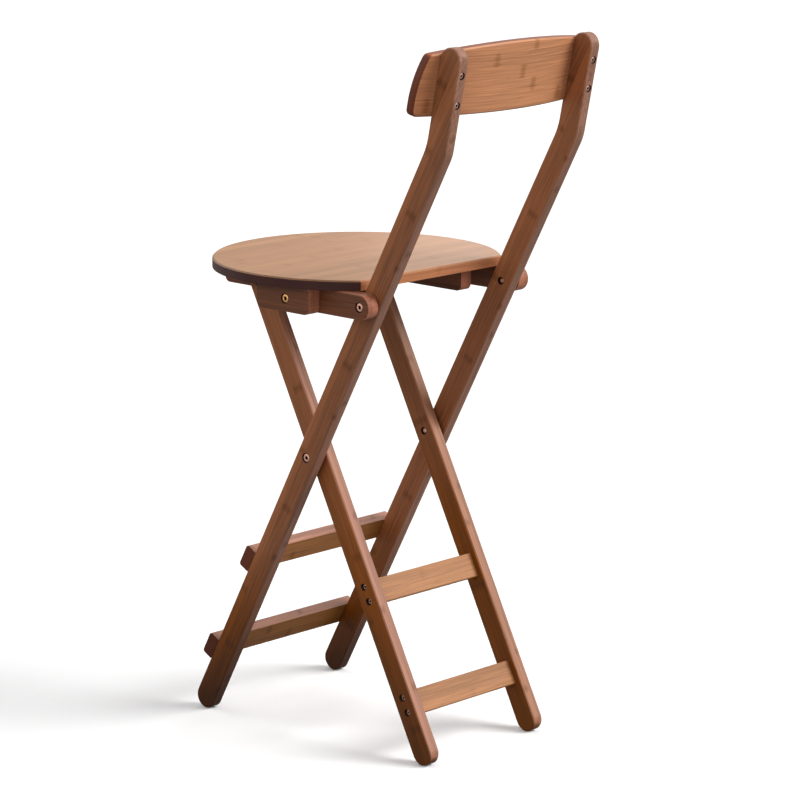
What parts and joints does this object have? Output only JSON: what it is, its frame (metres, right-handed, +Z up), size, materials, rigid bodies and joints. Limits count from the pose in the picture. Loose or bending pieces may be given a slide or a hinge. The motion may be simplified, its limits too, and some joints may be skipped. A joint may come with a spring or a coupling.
{
  "type": "folding bar stool",
  "caption": "Folding bar stool of dark bamboo boards with crossing legs, footrest rungs, a round seat cut straight at the back and a curved backrest",
  "frame": {"origin": "on the floor, under the middle of the bounding box of the open stool", "axes": "+X is the sitter's left, -Y is the front that the sitter faces, +Z is up"},
  "size_m": [0.406, 0.5247, 0.9951],
  "materials": {
    "bamboo_frame": "satin lacquered",
    "bamboo_light": "satin lacquered",
    "bamboo_pale": "satin lacquered",
    "brass_fittings": "plated, satin",
    "washers": "matt nylon",
    "zinc_screws": "zinc plated"
  },
  "bodies": {
    "stand": {"post_left": "bamboo_frame", "post_right": "bamboo_frame", "backrest": "bamboo_light", "front_rung_upper": "bamboo_frame", "front_rung_lower": "bamboo_frame", "cross_pins": "brass_fittings", "cross_spacers": "washers", "arm_pins": "brass_fittings"},
    "legs": {"leg_left": "bamboo_frame", "leg_right": "bamboo_frame", "rear_rung_upper": "bamboo_pale", "rear_rung_lower": "bamboo_pale", "leg_top_pins": "brass_fittings"},
    "link_left": {"link_left": "bamboo_frame"},
    "link_right": {"link_right": "bamboo_frame"},
    "seat": {"seat_board": "bamboo_light", "seat_batten_left": "bamboo_frame", "seat_batten_right": "bamboo_frame", "seat_block_left": "bamboo_frame", "seat_block_right": "bamboo_frame", "seat_pins": "brass_fittings", "batten_pins": "brass_fittings"}
  },
  "joints": [
    {"name": "leg_fold", "type": "hinge", "parent": "stand", "child": "legs", "pos_m": [0, -0.02158, 0.4056], "axis": [-1, 0, 0], "range_deg": [0, 55.3]},
    {"name": "link_left_swing", "type": "hinge", "parent": "stand", "child": "link_left", "pos_m": [0.1515, 0.10222, 0.6365], "axis": [-1, 0, 0], "range_deg": [0, 118.2]},
    {"name": "link_right_swing", "type": "hinge", "parent": "stand", "child": "link_right", "pos_m": [-0.1515, 0.10222, 0.6365], "axis": [-1, 0, 0], "range_deg": [0, 118.2]},
    {"name": "seat_fold", "type": "hinge", "parent": "link_left", "child": "seat", "pos_m": [0.1515, -0.01745, 0.6365], "axis": [1, 0, 0], "range_deg": [0, 180]}
  ],
  "couplings": [
    {"joint": "link_left_swing", "follows": "leg_fold", "ratio": 2.1374},
    {"joint": "link_right_swing", "follows": "leg_fold", "ratio": 2.1374},
    {"joint": "seat_fold", "follows": "leg_fold", "ratio": 3.255}
  ]
}
